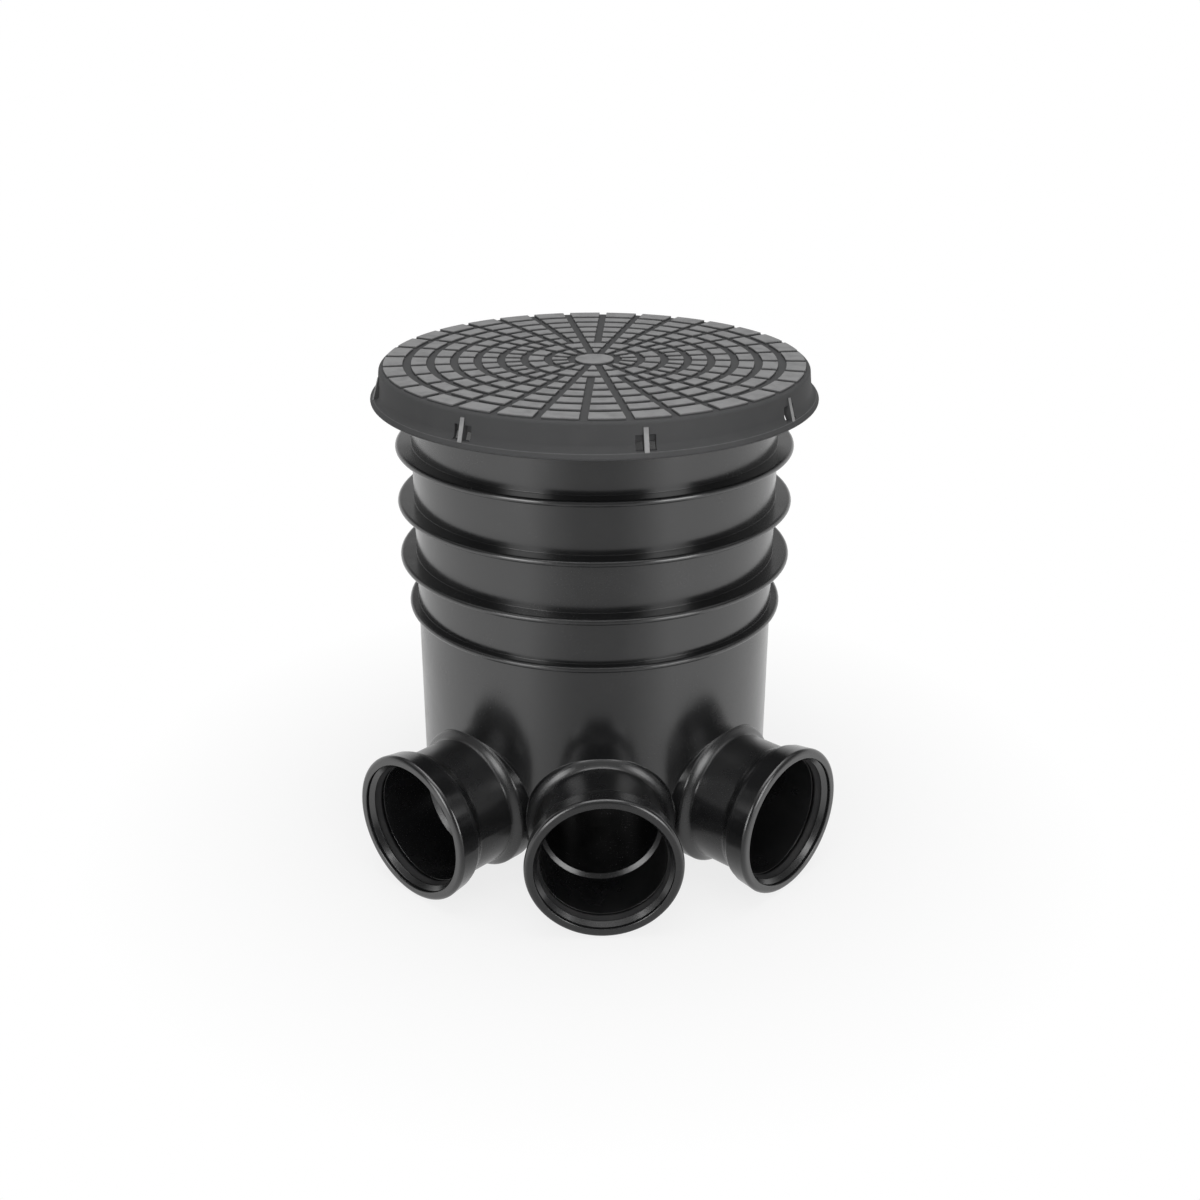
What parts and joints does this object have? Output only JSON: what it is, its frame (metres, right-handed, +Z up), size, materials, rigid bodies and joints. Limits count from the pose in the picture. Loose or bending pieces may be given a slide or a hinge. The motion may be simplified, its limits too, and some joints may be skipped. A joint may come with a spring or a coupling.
{
  "type": "drain inspection chamber",
  "caption": "Shallow round drain inspection chamber with a ribbed shaft, socketed inlets at its foot, an outlet behind and a treaded clip-on cover.",
  "frame": {"origin": "on the ground under the axis of the round shaft", "axes": "+Z up along the shaft, +Y from the front inlet towards the outlet, +X to the right when looking from the front inlet"},
  "size_m": [0.433, 0.48, 0.45],
  "materials": {
    "body_plastic": "semi-gloss moulded black polypropylene",
    "cover_plastic": "satin moulded black polypropylene with a raised tread",
    "cap_plastic": "semi-gloss moulded black polypropylene",
    "seal_rubber": "dull black EPDM rubber"
  },
  "bodies": {
    "root": {"chamber_body": "body_plastic", "cover": "cover_plastic", "cover_seal": "seal_rubber", "front_cap": "cap_plastic", "left_cap": "cap_plastic", "right_cap": "cap_plastic", "outlet_cap": "cap_plastic", "front_seal": "seal_rubber", "left_seal": "seal_rubber", "right_seal": "seal_rubber", "outlet_seal": "seal_rubber"}
  },
  "joints": []
}
